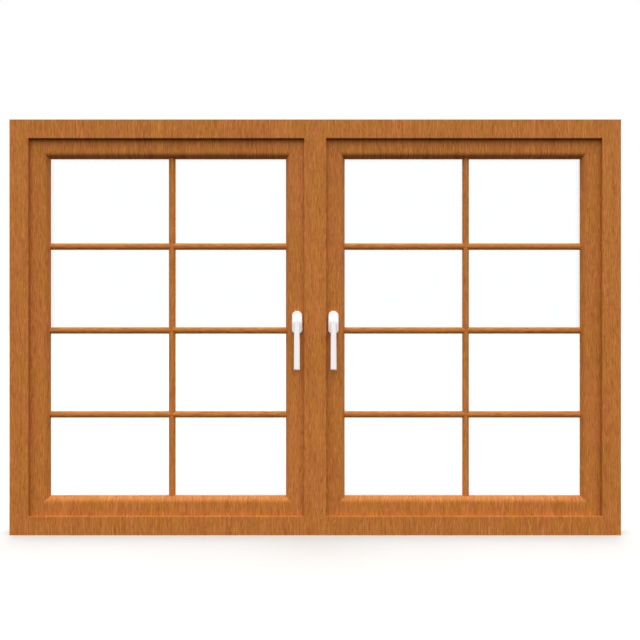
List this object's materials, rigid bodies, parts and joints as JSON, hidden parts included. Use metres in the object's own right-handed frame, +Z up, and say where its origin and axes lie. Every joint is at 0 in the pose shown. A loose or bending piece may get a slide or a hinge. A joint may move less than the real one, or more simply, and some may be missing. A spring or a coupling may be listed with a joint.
{
  "type": "twin casement window with a fixed mullion",
  "caption": "Timber window: a rebated frame with a fixed mullion and flush glazed sashes, each with mitred beads, glazing bars and a lever handle.",
  "frame": {"origin": "middle of the frame's underside, at mid-depth", "axes": "+X to the right as seen from inside, +Y from the inside face to the outside face, +Z up"},
  "size_m": [1.765, 0.1044, 1.2],
  "materials": {
    "oak": "golden-oak stain, satin lacquer, upright grain",
    "glass": "clear float glass",
    "spacer": "mill finish",
    "white_coat": "white powder coat, semi-gloss",
    "hinge_steel": "satin zinc plating"
  },
  "bodies": {
    "window": {"head": "oak", "sill": "oak", "mullion": "oak", "left_jamb": "oak", "right_jamb": "oak", "left_hinge_stile": "oak", "left_lock_stile": "oak", "left_top_rail": "oak", "left_bottom_rail": "oak", "left_hinge_bead": "oak", "left_lock_bead": "oak", "left_top_bead": "oak", "left_bottom_bead": "oak", "left_inside_upright_bar": "oak", "left_inside_cross_bars": "oak", "left_outside_upright_bar": "oak", "left_outside_cross_bars": "oak", "right_hinge_stile": "oak", "right_lock_stile": "oak", "right_top_rail": "oak", "right_bottom_rail": "oak", "right_hinge_bead": "oak", "right_lock_bead": "oak", "right_top_bead": "oak", "right_bottom_bead": "oak", "right_inside_upright_bar": "oak", "right_inside_cross_bars": "oak", "right_outside_upright_bar": "oak", "right_outside_cross_bars": "oak", "left_inner_pane": "glass", "left_outer_pane": "glass", "right_inner_pane": "glass", "right_outer_pane": "glass", "left_spacer": "spacer", "right_spacer": "spacer", "left_handle_plate": "white_coat", "right_handle_plate": "white_coat", "left_hinge_frame_leaves": "hinge_steel", "left_hinge_sash_leaves": "hinge_steel", "left_hinge_pins": "hinge_steel", "right_hinge_frame_leaves": "hinge_steel", "right_hinge_sash_leaves": "hinge_steel", "right_hinge_pins": "hinge_steel"},
    "left_handle": {"left_handle_lever": "white_coat"},
    "right_handle": {"right_handle_lever": "white_coat"}
  },
  "joints": [
    {"name": "left_handle_turn", "type": "hinge", "parent": "window", "child": "left_handle", "pos_m": [-0.0525, -0.02, 0.615], "axis": [0, 1, 0], "range_deg": [0, 90]},
    {"name": "right_handle_turn", "type": "hinge", "parent": "window", "child": "right_handle", "pos_m": [0.0525, -0.02, 0.615], "axis": [0, -1, 0], "range_deg": [0, 90]}
  ]
}
